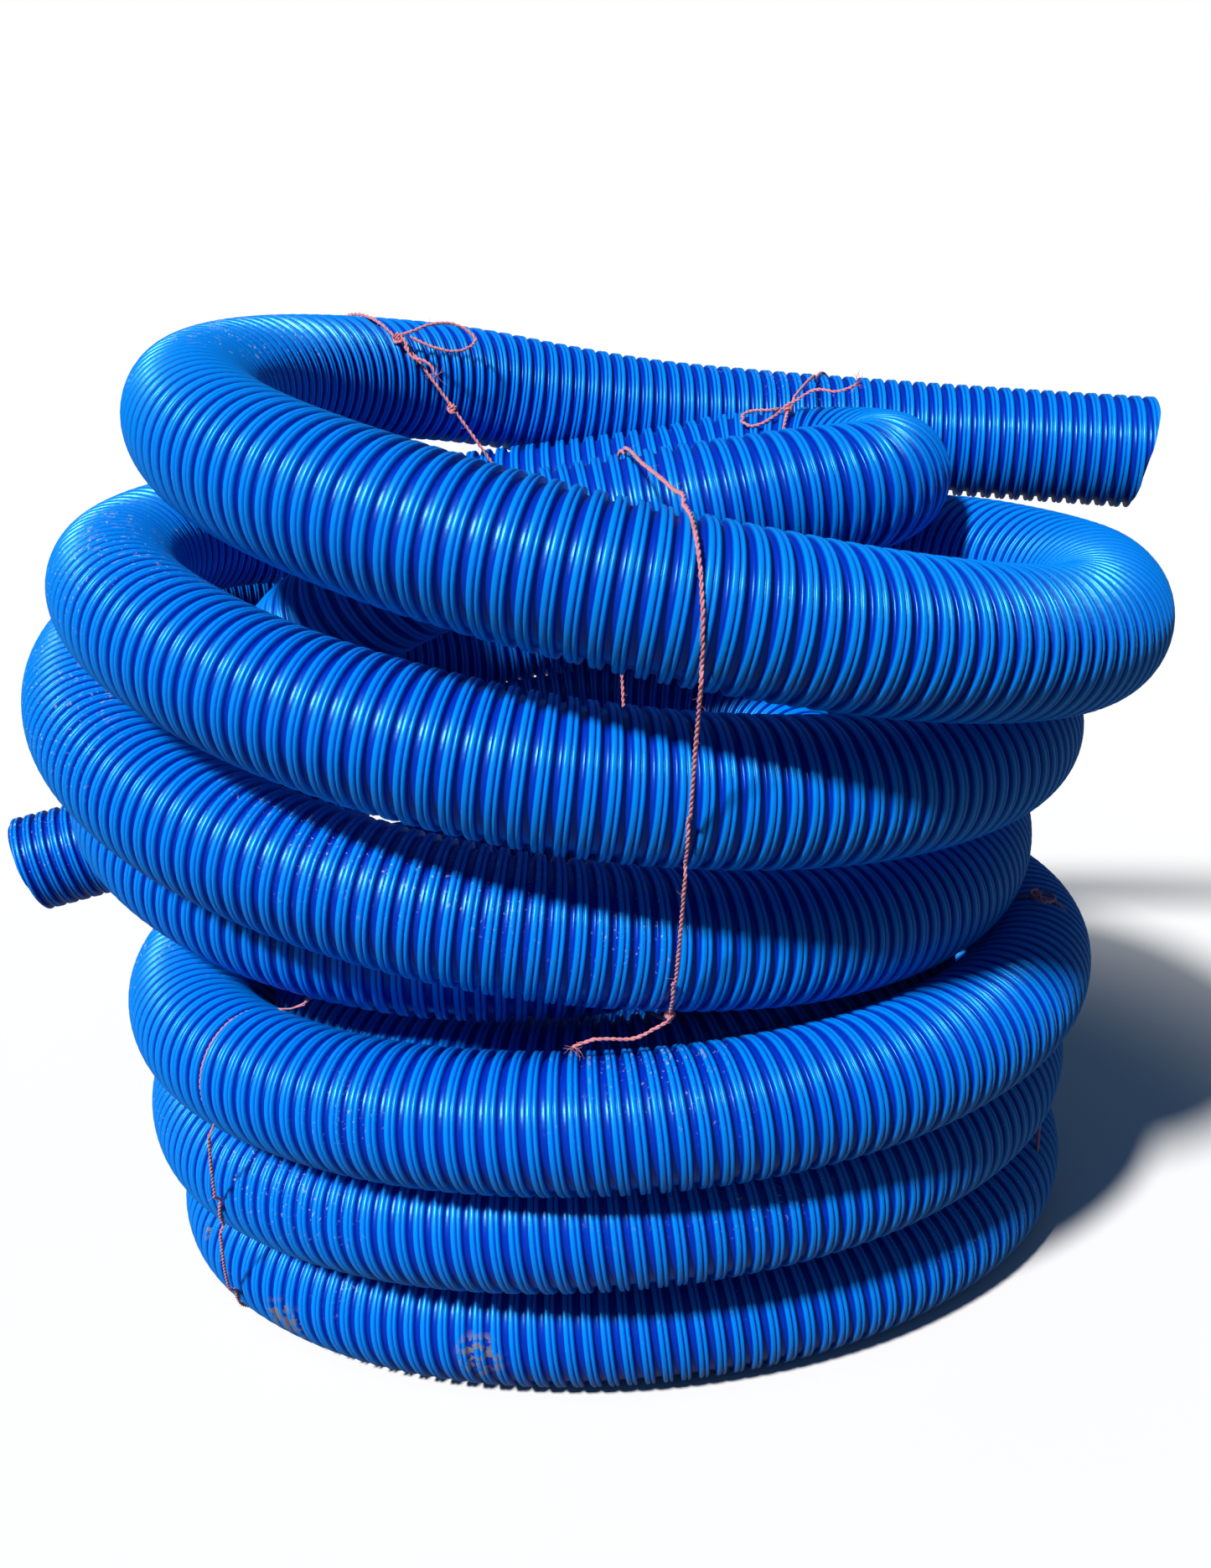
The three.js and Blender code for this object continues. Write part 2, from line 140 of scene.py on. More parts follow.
# ---- Studio -----------------------------------------------------------------------------------
SUN_LEFT = 32  # degrees that the main light stands to the left of the pile's front
SUN_HEIGHT = 46  # degrees above the floor
SUN_SPREAD = 6  # degrees that the light spans, which softens its shadows
SUN_POWER = 4.4
SUN_COLOUR = (1.0, 0.98, 0.95)
ROOM_POWER = 0.11
ROOM_COLOUR = (0.30, 0.58, 1.0, 1)
WHITE = (1, 1, 1, 1)
FLOOR_SIDE = 14
FLOOR_SEEN = (0.95, 0.95, 0.95, 1)
FLOOR_BOUNCE = (0.15, 0.15, 0.15, 1)  # how the floor lights the pile
FLOOR_FADE = (0.26, 0.70)  # from the pile's middle, where the floor turns to plain white
CAMERA_PLACE = (0.0203, -0.6195, 0.3731)
CAMERA_DOWN = 16.92  # degrees
CAMERA_ROLL = 4.14  # degrees
LENS = 38.37
SENSOR = 36  # spans the image's longer side

joints = {joint["name"]: joint for joint in frame["joints"]}
mounts = {mount["name"]: mount for mount in frame["record"]["mounts"]}


# ---- Reading the CAD meshes back --------------------------------------------------------------
def welded(node):
    """The node's vertices with duplicates merged, and each one's neighbours."""
    mesh = frame["nodes"][node].data
    points = np.zeros(len(mesh.vertices) * 3, np.float32)
    mesh.vertices.foreach_get("co", points)
    edges = np.zeros(len(mesh.edges) * 2, np.int32)
    mesh.edges.foreach_get("vertices", edges)
    rounded = np.round(points.reshape(-1, 3), 6)
    merged, index = np.unique(rounded, axis=0, return_inverse=True)
    neighbours = [set() for _ in merged]
    for a, b in index.ravel()[edges].reshape(-1, 2):
        if a != b:
            neighbours[a].add(b)
            neighbours[b].add(a)
    return merged.astype(float), neighbours


def is_whole_ring(ring, centre):
    """True if the vertices lie on the hose's outside and bore circles, the same number on each."""
    reach = np.linalg.norm(ring - centre, axis=1)
    outer = np.abs(reach - HOSE_RADIUS) < 1e-4
    inner = np.abs(reach - BORE_RADIUS) < 1e-4
    return len(ring) == 2 * CAD_SIDES and outer.sum() == CAD_SIDES and inner.sum() == CAD_SIDES


def ring_centres(node, start):
    """Centres of a hose node's rings, in order from its end at the point start."""
    points, neighbours = welded(node)
    end_reach = HOSE_RADIUS + 0.0015
    layer = np.flatnonzero(np.linalg.norm(points - np.array(start), axis=1) < end_reach)
    seen = set(layer)
    centres = []
    while len(layer):
        ring = points[layer]
        centre = ring.mean(axis=0)
        if is_whole_ring(ring, centre):
            centres.append(centre)
        following = set()
        for vertex in layer:
            following |= neighbours[vertex]
        layer = np.array(sorted(following - seen), int)
        seen |= following
    return centres


def cut_centre(name):
    """Centre of a cut end, whose mount is on the top of its wall."""
    mount = mounts[name]
    outward = Vector(mount["axis"])
    up = Vector((0, 0, 1))
    up = (up - outward * up.dot(outward)).normalized()
    wall_middle = (HOSE_RADIUS * math.cos(math.pi / CAD_SIDES) + BORE_RADIUS) / 2
    return Vector(mount["pos_m"]) - up * wall_middle


def twine_rings(node):
    """Ring centres of a twine node, the rings joined to each, and each one's corner count."""
    points, neighbours = welded(node)
    ring_of = {}
    rings = []
    for first in range(len(points)):
        if first in ring_of:
            continue
        ring_of[first] = len(rings)
        members = [first]
        for vertex in members:
            for other in neighbours[vertex]:
                near = np.linalg.norm(points[other] - points[vertex]) < 2.1 * TWINE_RADIUS
                if near and other not in ring_of:
                    ring_of[other] = len(rings)
                    members.append(other)
        rings.append(members)
    joined = [set() for _ in rings]
    for vertex, others in enumerate(neighbours):
        joined[ring_of[vertex]] |= {ring_of[other] for other in others}
    sizes = [len(members) for members in rings]
    centres = {i: points[members].mean(axis=0) for i, members in enumerate(rings)}
    return centres, joined, sizes


def band_path(node, knot):
    """Points round a closed tie, in order, starting and ending at its knot."""
    centres, _, sizes = twine_rings(node)
    whole = [p for i, p in centres.items() if sizes[i] == CAD_TWINE_SIDES]
    points = np.array([p for p in whole if np.linalg.norm(p - knot) > KNOT_GAP])
    middle = points.mean(axis=0)
    _, _, axes = np.linalg.svd(points - middle, full_matrices=False)
    flat = (points - middle) @ axes[:2].T
    flat_knot = (knot - middle) @ axes[:2].T
    knot_angle = math.atan2(flat_knot[1], flat_knot[0])
    angles = (np.arctan2(flat[:, 1], flat[:, 0]) - knot_angle) % (2 * math.pi)
    return np.vstack([knot, points[np.argsort(angles)], knot])


def loose_path(node, knot):
    """Points along a loose strand, in order from the knot that holds it."""
    centres, joined, _ = twine_rings(node)
    current = min(centres, key=lambda i: np.linalg.norm(centres[i] - knot))
    path = [current]
    while True:
        onward = [i for i in joined[current] if i not in path]
        if not onward:
            break
        current = min(onward, key=lambda i: np.linalg.norm(centres[i] - centres[path[-1]]))
        path.append(current)
    return np.array([centres[i] for i in path])


# ---- Curves -----------------------------------------------------------------------------------
def lengths_along(points):
    """Distance along the line at each point."""
    return np.concatenate([[0], np.cumsum(np.linalg.norm(np.diff(points, axis=0), axis=1))])


def curve_through(points, step):
    """Points about step apart on a smooth curve through the given ones."""
    points = np.asarray(points, float)
    gaps = np.linalg.norm(np.diff(points, axis=0), axis=1)
    points = points[np.concatenate([[True], gaps > 1e-5])]
    knots = lengths_along(points)
    slopes = np.gradient(points, knots, axis=0)
    fine = np.linspace(0, knots[-1], max(2, int(round(knots[-1] / step)) + 1))
    span = np.clip(np.searchsorted(knots, fine, side="right") - 1, 0, len(knots) - 2)
    width = (knots[span + 1] - knots[span])[:, None]
    x = (fine - knots[span])[:, None] / width
    return (
        (2 * x**3 - 3 * x**2 + 1) * points[span]
        + (x**3 - 2 * x**2 + x) * width * slopes[span]
        + (3 * x**2 - 2 * x**3) * points[span + 1]
        + (x**3 - x**2) * width * slopes[span + 1]
    )


def unit(vectors):
    """The vectors at length one."""
    return vectors / np.maximum(np.linalg.norm(vectors, axis=-1, keepdims=True), 1e-12)


def carried_frame(points, hint):
    """Two directions square to the line at each point, turning as little as they can."""
    tangents = unit(np.gradient(points, axis=0))
    side = np.zeros_like(points)
    current = np.array(hint, float)
    for i, tangent in enumerate(tangents):
        current = current - tangent * current.dot(tangent)
        current = current / np.linalg.norm(current)
        side[i] = current
    return side, np.cross(tangents, side)


class Hose:
    """A hose's centreline, measured in metres from its first cut end."""

    def __init__(self, centres):
        line = curve_through(centres, LINE_STEP)
        reaches = np.linspace(LINE_STEP, CUT_MARGIN, 20)[:, None]
        before = reaches[::-1] * unit(line[0] - line[1])
        after = reaches * unit(line[-1] - line[-2])
        self.length = lengths_along(line)[-1]
        self.line = np.vstack([line[0] + before, line, line[-1] + after])
        self.along = lengths_along(self.line) - CUT_MARGIN
        self.side, self.up = carried_frame(self.line, (0, 0, 1))

    def look_up(self, table, s):
        """The table's values at distances s along the hose."""
        return np.stack([np.interp(s, self.along, table[:, i]) for i in range(3)], axis=-1)

    def centre(self, s):
        """Places on the centreline."""
        return self.look_up(self.line, s)

    def outward(self, s, angle):
        """Directions out from the centreline, angle round from its side direction."""
        side = self.look_up(self.side, s)
        up = self.look_up(self.up, s)
        return unit(np.cos(angle)[..., None] * side + np.sin(angle)[..., None] * up)

    def nearest(self, point):
        """Distance along the hose of the place nearest to a point."""
        return self.along[np.argmin(np.linalg.norm(self.line - np.array(point), axis=1))]


# ---- Meshes -----------------------------------------------------------------------------------
class MeshParts:
    """Vertices, normals, faces and a rib-height value, gathered from several surfaces."""

    def __init__(self):
        self.points = []
        self.normals = []
        self.crest = []
        self.faces = []
        self.count = 0

    def add(self, points, normals, crest, faces):
        """Adds one surface, whose faces count its own points from 0."""
        self.points.append(points)
        self.normals.append(normals)
        self.crest.append(np.broadcast_to(crest, len(points)))
        self.faces += [[i + self.count for i in face] for face in faces]
        self.count += len(points)

    def build(self, name, material):
        """Makes the piece, without the points that no face uses."""
        points = np.vstack(self.points)
        used = sorted({i for face in self.faces for i in face})
        place = {old: new for new, old in enumerate(used)}
        faces = [[place[i] for i in face] for face in self.faces]
        mesh = bpy.data.meshes.new(name)
        mesh.from_pydata(points[used].tolist(), [], faces)
        mesh.polygons.foreach_set("use_smooth", [True] * len(faces))
        crest = mesh.attributes.new("crest", "FLOAT", "POINT")
        crest.data.foreach_set("value", np.concatenate(self.crest)[used].astype(np.float32))
        mesh.normals_split_custom_set_from_vertices(np.vstack(self.normals)[used].tolist())
        mesh.materials.append(material)
        piece = bpy.data.objects.new(name, mesh)
        bpy.context.scene.collection.objects.link(piece)
        return piece


def rib_height(phase):
    """Height of the ribs, 0 in the groove and 1 on the beads, at a share of the pitch."""
    shares, heights = zip(*RIB_PROFILE)
    return np.interp(phase, shares, heights, period=1)


class Cut:
    """Where a hose piece stops. A real cut end can slope from its top to its bottom."""

    def __init__(self, s, is_end=False, slope=0.0):
        self.s = s
        self.is_end = is_end
        self.slope = slope

    def places(self, hose, angles):
        """Where the cut is along the hose at each angle round it."""
        s = np.full(len(angles), self.s)
        rise = hose.outward(s, angles)[:, 2]
        return s + self.slope * (1 - rise) / 2


def outer_point(hose, s, angle, dents):
    """Places on the ribbed outside, less any dents, and the rib height at each."""
    phase = (s / RIB_PITCH - angle / (2 * math.pi)) % 1
    height = rib_height(phase)
    outward = hose.outward(s, angle)
    radius = HOSE_RADIUS - RIB_HEIGHT * (1 - height)
    for place, direction, width, depth in dents:
        round_way = HOSE_RADIUS * np.arccos(np.clip(outward @ np.array(direction), -1, 1))
        near = ((s - place) ** 2 + round_way**2) / (2 * width**2)
        radius = radius - depth * np.exp(-near)
    return hose.centre(s) + outward * radius[..., None], height


def rib_normals(hose, s, angles, dents):
    """Directions square to the ribbed surface at every row and column."""
    # The helix closes on itself one pitch further on, so a wrapped column on each side helps.
    wide_s = np.hstack([s[:, -1:] - RIB_PITCH, s, s[:, :1] + RIB_PITCH])
    wide_angles = np.concatenate([[angles[-1] - 2 * math.pi], angles, [2 * math.pi]])
    grid, _ = outer_point(hose, wide_s, np.broadcast_to(wide_angles, wide_s.shape), dents)
    down_rows = np.gradient(grid, axis=0)
    round_columns = np.gradient(grid, axis=1)
    normals = unit(np.cross(round_columns, down_rows))[:, 1:-1]
    outward = hose.outward(s, np.broadcast_to(angles, s.shape))
    return normals * np.sign((normals * outward).sum(axis=-1, keepdims=True))


def cut_normals(normals, s, cut, index, step):
    """Mixes the normals of the rows on each side of a cut into the row that is moved to it."""
    for column in range(COLUMNS):
        i = index[column]
        share = (cut[column] - s[i, column]) / (s[i + step, column] - s[i, column])
        mixed = normals[i, column] * (1 - share) + normals[i + step, column] * share
        normals[i, column] = mixed


def rib_faces(row_count, low, high):
    """Faces between the rows low and high of each column, joined round the helix."""
    per_pitch = len(RIB_PROFILE)
    row = np.arange(row_count - per_pitch - 1)[:, None]
    column = np.arange(COLUMNS)[None, :]
    wraps = (column == COLUMNS - 1) * per_pitch
    next_column = (column + 1) % COLUMNS

    def vertex(i, j):
        i, j = np.broadcast_arrays(i, j)
        return np.clip(i, low[j], high[j]) * COLUMNS + j

    corners = np.stack([
        vertex(row, column),
        vertex(row + wraps, next_column),
        vertex(row + wraps + 1, next_column),
        vertex(row + 1, column),
    ], axis=-1).reshape(-1, 4)
    faces = []
    for a, b, c, d in corners.tolist():
        face = [i for i, before in zip((a, b, c, d), (d, a, b, c)) if i != before]
        if len(set(face)) >= 3:
            faces.append(face)
    return faces


def hose_piece(name, hose, first, last, material, dents=()):
    """A length of ribbed hose between two cuts, with its bore and the faces of its cut ends."""
    angles = np.arange(COLUMNS) * 2 * math.pi / COLUMNS
    starts = first.places(hose, angles)
    ends = last.places(hose, angles)
    shares = np.array([share for share, _ in RIB_PROFILE])
    lowest = math.floor(starts.min() / RIB_PITCH) - 2
    highest = math.ceil(ends.max() / RIB_PITCH) + 2
    rows = (np.arange(lowest, highest)[:, None] + shares).ravel() * RIB_PITCH
    s = rows[:, None] + angles * RIB_PITCH / (2 * math.pi)

    low = (s <= starts).sum(axis=0) - 1
    high = (s < ends).sum(axis=0)
    normals = rib_normals(hose, s, angles, dents)
    cut_normals(normals, s, starts, low, 1)
    cut_normals(normals, s, ends, high, -1)
    clipped = np.clip(s, starts, ends)
    points, heights = outer_point(hose, clipped, np.broadcast_to(angles, s.shape), dents)

    parts = MeshParts()
    faces = rib_faces(len(rows), low, high)
    parts.add(points.reshape(-1, 3), unit(normals).reshape(-1, 3), heights.ravel(), faces)
    add_bore(parts, hose, starts, ends, angles)
    if first.is_end:
        add_cut_face(parts, hose, starts, angles, dents, -1)
    if last.is_end:
        add_cut_face(parts, hose, ends, angles, dents, 1)
    return parts.build(name, material)


def strip_faces(count, sides):
    """Faces between count rings of points, each ring with so many sides."""
    faces = []
    for i in range(count - 1):
        for j in range(sides):
            k = (j + 1) % sides
            faces.append([i * sides + j, i * sides + k, (i + 1) * sides + k, (i + 1) * sides + j])
    return faces


def add_bore(parts, hose, starts, ends, angles):
    """The smooth inside wall, facing inwards."""
    count = max(2, int((ends.mean() - starts.mean()) / BORE_STEP) + 1)
    s = starts + (ends - starts) * np.linspace(0, 1, count)[:, None]
    outward = hose.outward(s, np.broadcast_to(angles, s.shape))
    points = hose.centre(s) + outward * BORE_RADIUS
    faces = [[a, d, c, b] for a, b, c, d in strip_faces(count, COLUMNS)]
    parts.add(points.reshape(-1, 3), -outward.reshape(-1, 3), 0.0, faces)


def add_cut_face(parts, hose, cut, angles, dents, facing):
    """The ring of wall that shows at a cut end."""
    outer, _ = outer_point(hose, cut, angles, dents)
    inner = hose.centre(cut) + hose.outward(cut, angles) * BORE_RADIUS
    along = hose.centre(cut + LINE_STEP) - hose.centre(cut - LINE_STEP)
    faces = []
    for j in range(COLUMNS):
        k = (j + 1) % COLUMNS
        face = [j, k, COLUMNS + k, COLUMNS + j]
        faces.append(face if facing > 0 else face[::-1])
    normals = np.vstack([unit(along) * facing] * 2)
    parts.add(np.vstack([outer, inner]), normals, 0.5, faces)


def add_tube(parts, points, radii, sides):
    """A round strand along the points, closed at both ends."""
    side, up = carried_frame(points, TUBE_HINT)
    angles = np.arange(sides) * 2 * math.pi / sides
    outward = np.cos(angles)[None, :, None] * side[:, None] + np.sin(angles)[None, :, None] * up[:, None]
    rings = points[:, None] + outward * np.broadcast_to(radii, len(points))[:, None, None]
    faces = strip_faces(len(points), sides)
    faces.append(list(range(sides))[::-1])
    faces.append([(len(points) - 1) * sides + j for j in range(sides)])
    parts.add(rings.reshape(-1, 3), outward.reshape(-1, 3), 1.0, faces)


# ---- Materials --------------------------------------------------------------------------------
class Nodes:
    """A material's node tree, with one short call for each kind of node used here."""

    def __init__(self, name):
        self.material = bpy.data.materials.new(name)
        self.material.use_nodes = True
        self.tree = self.material.node_tree
        self.tree.nodes.clear()

    def new(self, kind, settings=None, **inputs):
        """Adds a node; in an input's name, _ stands for a space."""
        node = self.tree.nodes.new(kind)
        for key, value in (settings or {}).items():
            setattr(node, key, value)
        for key, value in inputs.items():
            self.feed(node.inputs[key.replace("_", " ")], value)
        return node

    def feed(self, socket, value):
        """Links a socket to an input, or sets its value."""
        if isinstance(value, bpy.types.NodeSocket):
            self.tree.links.new(value, socket)
        else:
            socket.default_value = value

    def maths(self, operation, a, b=0.0, c=0.0):
        """One sum on up to three values."""
        node = self.tree.nodes.new("ShaderNodeMath")
        node.operation = operation
        for socket, value in zip(node.inputs, (a, b, c)):
            self.feed(socket, value)
        return node.outputs[0]

    def span(self, value, low, high):
        """0 below low, 1 above high, smooth between."""
        settings = {"interpolation_type": "SMOOTHSTEP"}
        node = self.new("ShaderNodeMapRange", settings, Value=value, From_Min=low, From_Max=high)
        return node.outputs[0]

    def part_of(self, vector, axis):
        """One part of a vector: X, Y or Z."""
        return self.new("ShaderNodeSeparateXYZ", None, Vector=vector).outputs[axis]

    def distance(self, place, middle=(0, 0, 0)):
        """How far a place is from the middle."""
        node = self.new("ShaderNodeVectorMath", {"operation": "DISTANCE"})
        self.feed(node.inputs[0], place)
        self.feed(node.inputs[1], middle)
        return node.outputs["Value"]

    def noise(self, place, scale, detail=3.0):
        """Smooth random values about 0.5."""
        node = self.new("ShaderNodeTexNoise", None, Vector=place, Scale=scale, Detail=detail)
        return node.outputs["Fac"]

    def mix(self, share, a, b):
        """Colour a where share is 0, and b where it is 1."""
        node = self.new("ShaderNodeMix", {"data_type": "RGBA"})
        self.feed(node.inputs[0], share)
        self.feed(node.inputs[6], a)
        self.feed(node.inputs[7], b)
        return node.outputs[2]

    def finish(self, **inputs):
        """Closes the tree with a principled shader."""
        shader = self.new("ShaderNodeBsdfPrincipled", None, **inputs)
        output = self.tree.nodes.new("ShaderNodeOutputMaterial")
        self.tree.links.new(shader.outputs[0], output.inputs[0])
        return self.material


def hose_colour(n, place, crest):
    """Painted shade in the grooves, darker than the azure beads, and a little uneven along the hose."""
    # The low parts of the ribs get the darker blue as painted shade; the beads keep the plastic's azure.
    on_bead = n.span(crest, 0.45, 1.0)
    blue = n.mix(on_bead, GROOVE_SHADE_BLUE, BEAD_BLUE)
    cloud = n.noise(place, 14.0, 4.0)
    return n.mix(n.maths("MULTIPLY", cloud, 0.22), blue, CLOUDY_BLUE)


def dust_mask(n, place, crest, up):
    """Specks on upward faces and rubbed patches on the tops of the beads, thickest at the left."""
    leftward = n.maths("MULTIPLY", n.part_of(place, "X"), -0.5)
    settled = n.span(n.maths("ADD", n.noise(place, 9.0, 2.0), leftward), 0.52, 0.66)
    specks = n.span(n.noise(place, 760.0, 1.0), 0.66, 0.74)
    specks = n.maths("MULTIPLY", n.maths("MULTIPLY", specks, settled), n.span(up, -0.3, 0.5))
    patches = n.span(n.noise(place, 300.0, 3.0), 0.56, 0.66)
    on_top = n.maths("MULTIPLY", n.span(up, 0.80, 0.97), n.span(crest, 0.7, 0.95))
    patches = n.maths("MULTIPLY", n.maths("MULTIPLY", patches, settled), on_top)
    both = n.maths("MULTIPLY_ADD", patches, 0.7, n.maths("MULTIPLY", specks, 0.6))
    return n.maths("MINIMUM", both, 1.0)


def hose_material():
    """Glossy blue plastic with dust and mud where they settle."""
    n = Nodes("hose_plastic")
    place = n.new("ShaderNodeTexCoord").outputs["Object"]
    crest = n.new("ShaderNodeAttribute", {"attribute_name": "crest"}).outputs["Fac"]
    up = n.part_of(n.new("ShaderNodeNewGeometry").outputs["Normal"], "Z")
    dust = dust_mask(n, place, crest, up)
    mud = mud_mask(n, place)
    colour = n.mix(dust, hose_colour(n, place, crest), DUST_GREY)
    colour = n.mix(mud, colour, MUD_BROWN)

    rough = n.maths("MULTIPLY_ADD", n.noise(place, 90.0, 4.0), 0.16, 0.26)
    dirt = n.maths("MAXIMUM", dust, mud)
    rough = n.maths("ADD", rough, n.maths("MULTIPLY", dirt, 0.45))
    pits = n.noise(place, 900.0, 3.0)
    waves = n.noise(place, 260.0, 2.0)
    height = n.maths("ADD", n.maths("MULTIPLY", pits, 0.25), waves)
    bump = n.new("ShaderNodeBump", None, Height=height, Strength=0.22, Distance=0.0004)
    return n.finish(
        Base_Color=colour, Roughness=rough, Normal=bump.outputs[0], IOR=1.68,
        Specular_Tint=GLOSS_TINT,
    )


def mud_mask(n, place):
    """Dried mud low on the bottom turn, at the front left, in broken flakes."""
    size = cad_high - cad_low
    total = 0.0
    for shares, radius in MUD_SPOTS:
        middle = [low + share * side for low, share, side in zip(cad_low, shares, size)]
        apart = n.distance(place, middle)
        near = n.maths("SUBTRACT", 1.0, n.span(apart, 0.4 * radius, radius))
        total = n.maths("ADD", total, near)
    flakes = n.span(n.noise(place, 380.0, 4.0), 0.46, 0.56)
    return n.maths("MINIMUM", n.maths("MULTIPLY", total, flakes), 0.75)


def twine_material():
    """Salmon fibre, darker where it is grubby, with a fine grain across the plies."""
    n = Nodes("twine")
    place = n.new("ShaderNodeTexCoord").outputs["Object"]
    patches = n.span(n.noise(place, 60.0, 3.0), 0.50, 0.80)
    colour = n.mix(patches, FIBRE_SALMON, FIBRE_GRUBBY)
    grain = n.noise(place, 3500.0, 2.0)
    pale = n.maths("MULTIPLY", n.span(grain, 0.5, 0.75), 0.35)
    colour = n.mix(pale, colour, FIBRE_PALE)
    bump = n.new("ShaderNodeBump", None, Height=grain, Strength=0.5, Distance=0.0002)
    return n.finish(
        Base_Color=colour, Roughness=0.85, Normal=bump.outputs[0],
        Sheen_Weight=0.3, Sheen_Roughness=0.5,
    )


def floor_material():
    """Pale matt floor that fades to plain white away from the pile, as a studio sweep does."""
    n = Nodes("studio_floor")
    place = n.new("ShaderNodeTexCoord").outputs["Object"]
    seen = n.new("ShaderNodeLightPath").outputs["Is Camera Ray"]
    colour = n.mix(seen, FLOOR_BOUNCE, FLOOR_SEEN)
    fade = n.maths("MULTIPLY", n.span(n.distance(place), *FLOOR_FADE), seen)
    matt = n.new("ShaderNodeBsdfDiffuse", None, Color=colour)
    white = n.new("ShaderNodeEmission", None, Color=WHITE)
    mixed = n.tree.nodes.new("ShaderNodeMixShader")
    n.feed(mixed.inputs[0], fade)
    n.feed(mixed.inputs[1], matt.outputs[0])
    n.feed(mixed.inputs[2], white.outputs[0])
    output = n.tree.nodes.new("ShaderNodeOutputMaterial")
    n.feed(output.inputs[0], mixed.outputs[0])
    return n.material


plastic = hose_material()
fibre = twine_material()


# ---- The two hoses ----------------------------------------------------------------------------
def joint_place(name):
    """Where a joint turns."""
    return np.array(joints[name]["pos_m"])


def upper_centres():
    """Ring centres from the right cut end to the left one, through the four joints."""
    places = [joint_place(name) for name in
              ("right_end_droop", "right_end_swing", "left_end_swing", "left_end_droop")]
    nodes = ("right_end_tip", "right_end_root", "upper_hose_coil", "left_end_root", "left_end_tip")
    centres = ring_centres(nodes[0], cut_centre("right_cut_end"))
    for place, node in zip(places, nodes[1:]):
        centres += [place] + ring_centres(node, place)
    return centres


upper = Hose(upper_centres())
lower = Hose(ring_centres("lower_hose_coil", cut_centre("lower_outer_cut_end")))


def hose_lengths(prefix, hose, first, last, body, node):
    """Splits a long stretch into equal pieces that all ride on one body."""
    count = math.ceil((last.s - first.s) / LONGEST_PIECE)
    marks = np.linspace(first.s, last.s, count + 1)
    cuts = [first] + [Cut(s) for s in marks[1:-1]] + [last]
    for i in range(count):
        piece = hose_piece(f"{prefix}_{i + 1}", hose, cuts[i], cuts[i + 1], plastic)
        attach(piece, body)
        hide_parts(node)


def bending_piece(name, hose, first, last, joint, node, dents=()):
    """A piece round a joint, shaped by the centreline that curves there."""
    piece = hose_piece(name, hose, first, last, plastic, dents)
    s = hose.nearest(joint_place(joint))
    ends = [tuple(hose.centre(np.array(s + reach))) for reach in (-BEND_HALF, BEND_HALF)]
    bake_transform(piece)
    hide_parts(node)


def nicks():
    """Dents near the right cut end: place along the hose, way out, width and depth."""
    near_low = tuple(Vector((0.1, -0.9, -0.45)).normalized())
    near_level = tuple(Vector((0.1, -1.0, 0.1)).normalized())
    return [
        (0.022, near_low, 0.0018, 0.0012),
        (0.028, near_low, 0.0018, 0.0013),
        (0.034, near_low, 0.0016, 0.0010),
        (0.016, near_low, 0.0014, 0.0009),
        (0.025, near_level, 0.0014, 0.0008),
    ]


def build_hoses():
    """Both hoses, in pieces: the coil lengths each ride on one body, and the pieces round the joints ride on none.
    """
    right = [upper.nearest(joint_place(name)) for name in ("right_end_droop", "right_end_swing")]
    left = [upper.nearest(joint_place(name)) for name in ("left_end_swing", "left_end_droop")]
    right_mid = sum(right) / 2
    left_mid = sum(left) / 2
    past_bend = right_mid / 3  # from each inner joint to where the plain coil starts
    coil_start = Cut(right[1] + past_bend)
    coil_end = Cut(left[0] - past_bend)
    bending_piece("hose_right_end", upper, Cut(0, True, CUT_SLOPE), Cut(right_mid),
                  "right_end_droop", "right_end_tip", nicks())
    bending_piece("hose_right_bend", upper, Cut(right_mid), coil_start,
                  "right_end_swing", "right_end_root")
    hose_lengths("hose_upper", upper, coil_start, coil_end, "upper_bundle", "upper_hose_coil")
    bending_piece("hose_left_bend", upper, coil_end, Cut(left_mid),
                  "left_end_swing", "left_end_root")
    bending_piece("hose_left_end", upper, Cut(left_mid), Cut(upper.length, True, -CUT_SLOPE),
                  "left_end_droop", "left_end_tip")
    hose_lengths("hose_lower", lower, Cut(0, True), Cut(lower.length, True),
                 "lower_bundle", "lower_hose_coil")


build_hoses()


# ---- Laying twine on the hoses ----------------------------------------------------------------
def eased(share):
    """A smooth step from 0 to 1."""
    return share * share * (3 - 2 * share)


def hose_tree():
    """Finds the nearest place on either centreline."""
    lines = np.vstack([upper.line[::2], lower.line[::2]])
    tree = KDTree(len(lines))
    for i, p in enumerate(lines):
        tree.insert(p, i)
    tree.balance()
    return tree


centreline_tree = hose_tree()


def resting(points, reach=REST_REACH):
    """Lifts a strand out on to the ribs, and draws in what passes a hose within reach."""
    settled = points.copy()
    for i, p in enumerate(points):
        centre, _, distance = centreline_tree.find(p)
        if distance < reach:
            share = min(1.0, (reach - distance) / 0.001) if distance > REST else 1.0
            out = (Vector(p) - centre).normalized()
            settled[i] = Vector(p) + out * (REST - distance) * eased(share)
    return settled


def groove_places(offsets, index):
    """Places in the one groove that passes the lowest of some points on the lower hose."""
    angle = np.unwrap(np.arctan2(
        (offsets * lower.up[index]).sum(axis=1),
        (offsets * lower.side[index]).sum(axis=1),
    ))
    turns = lower.along[index] / RIB_PITCH - angle / (2 * math.pi)
    lowest = np.argmin(lower.line[index, 2] + offsets[:, 2])
    s = (np.round(turns[lowest]) + angle / (2 * math.pi)) * RIB_PITCH
    radius = HOSE_RADIUS - RIB_HEIGHT + TWINE_RADIUS
    return lower.centre(s) + lower.outward(s, angle) * radius


